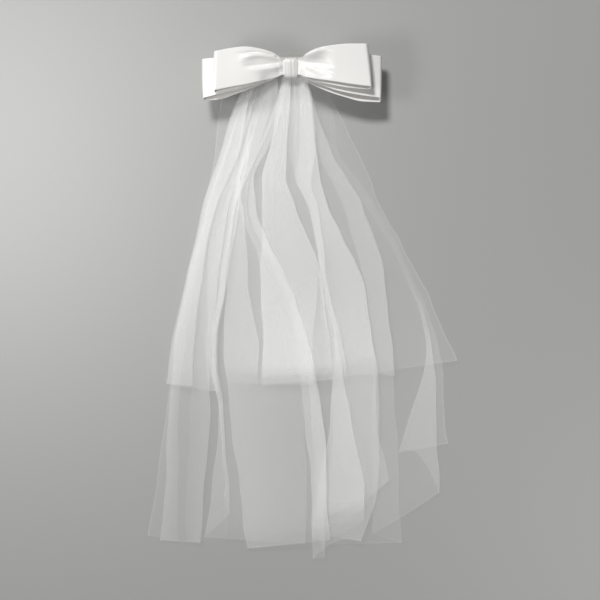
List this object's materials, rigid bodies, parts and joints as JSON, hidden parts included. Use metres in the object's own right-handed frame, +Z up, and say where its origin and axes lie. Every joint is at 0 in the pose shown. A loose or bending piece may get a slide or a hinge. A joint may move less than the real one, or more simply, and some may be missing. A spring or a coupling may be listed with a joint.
{
  "type": "bridal veil",
  "caption": "Two-tier gathered tulle bridal veil with a wide double satin bow over its hair comb, laid flat with its folds fanned out.",
  "frame": {"origin": "under the middle of the veil's bounding box, on the surface that the veil lies on", "axes": "+Y from the hem towards the bow, +X to the right seen from above, +Z up from the surface"},
  "size_m": [0.427, 0.711, 0.0534],
  "materials": {
    "tulle": "soft, sheer",
    "satin": "satin",
    "comb_plastic": "polished"
  },
  "bodies": {
    "root": {"lower_tier": "tulle", "upper_tier": "tulle", "rear_bow": "satin", "front_bow": "satin", "knot": "satin", "comb": "comb_plastic"}
  },
  "joints": []
}
